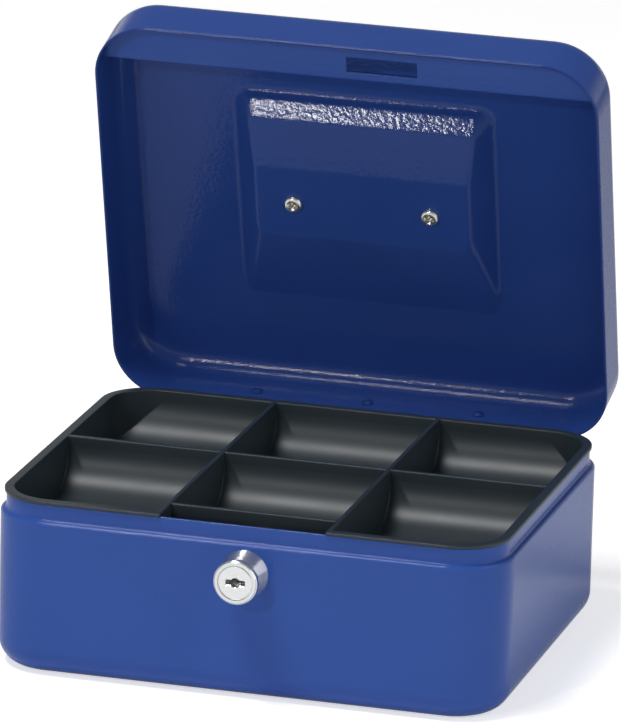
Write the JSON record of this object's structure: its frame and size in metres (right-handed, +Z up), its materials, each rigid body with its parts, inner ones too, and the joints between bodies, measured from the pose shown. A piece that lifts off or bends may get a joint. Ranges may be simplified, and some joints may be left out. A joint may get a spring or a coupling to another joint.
{
  "type": "cash box",
  "caption": "Pressed-steel cash box with a hinged lid, lift-out coin tray, cylinder lock with hook cam and a folding handle sunk in the lid.",
  "frame": {"origin": "middle of the flat base on the floor", "axes": "+Z up, +X to the right seen from the lock side, -Y towards the front where the lock is; lid stored standing open as pictured"},
  "size_m": [0.2, 0.2028, 0.228],
  "materials": {
    "blue_paint": "gloss enamel with a slight orange-peel texture",
    "black_plastic": "satin moulded",
    "chrome": "bright plated",
    "zinc_steel": "zinc plated",
    "nickel_silver": "stamped nickel silver"
  },
  "bodies": {
    "body": {"body_shell": "blue_paint", "body_hinge_leaf": "blue_paint", "hinge_pin": "zinc_steel", "body_hinge_rivets": "blue_paint", "lock_housing": "chrome", "lock_washer": "zinc_steel", "lock_nut": "zinc_steel"},
    "plug": {"lock_plug": "chrome", "lock_cam": "zinc_steel", "cam_washer": "zinc_steel", "cam_screw": "zinc_steel"},
    "wafers": {"lock_wafers": "nickel_silver"},
    "tray": {"coin_tray": "black_plastic"},
    "lid": {"lid_shell": "blue_paint", "lock_strip": "blue_paint", "lid_hinge_leaf": "blue_paint", "lid_hinge_rivets": "blue_paint", "handle_bracket_left": "chrome", "handle_bracket_right": "chrome", "handle_screws": "zinc_steel"},
    "handle": {"handle_bail": "chrome"}
  },
  "joints": [
    {"name": "lid_hinge", "type": "hinge", "parent": "body", "child": "lid", "pos_m": [0, 0.085, 0.0612], "axis": [-1, 0, 0], "range_deg": [-75, 30]},
    {"name": "handle_fold", "type": "hinge", "parent": "lid", "child": "handle", "pos_m": [0, 0.08438, 0.15162], "axis": [-1, 0, 0], "range_deg": [0, 100]},
    {"name": "tray_lift", "type": "slide", "parent": "body", "child": "tray", "axis": [0, 0, 1], "range_m": [0, 0.055]},
    {"name": "lock_turn", "type": "hinge", "parent": "body", "child": "plug", "pos_m": [0.0015, -0.0825, 0.0495], "axis": [0, -1, 0], "range_deg": [0, 90]},
    {"name": "wafer_slide", "type": "slide", "parent": "plug", "child": "wafers", "axis": [1, 0, 0], "range_m": [-0.0006, 0], "stiffness_N_per_m": 150, "springref_m": 0.001}
  ]
}
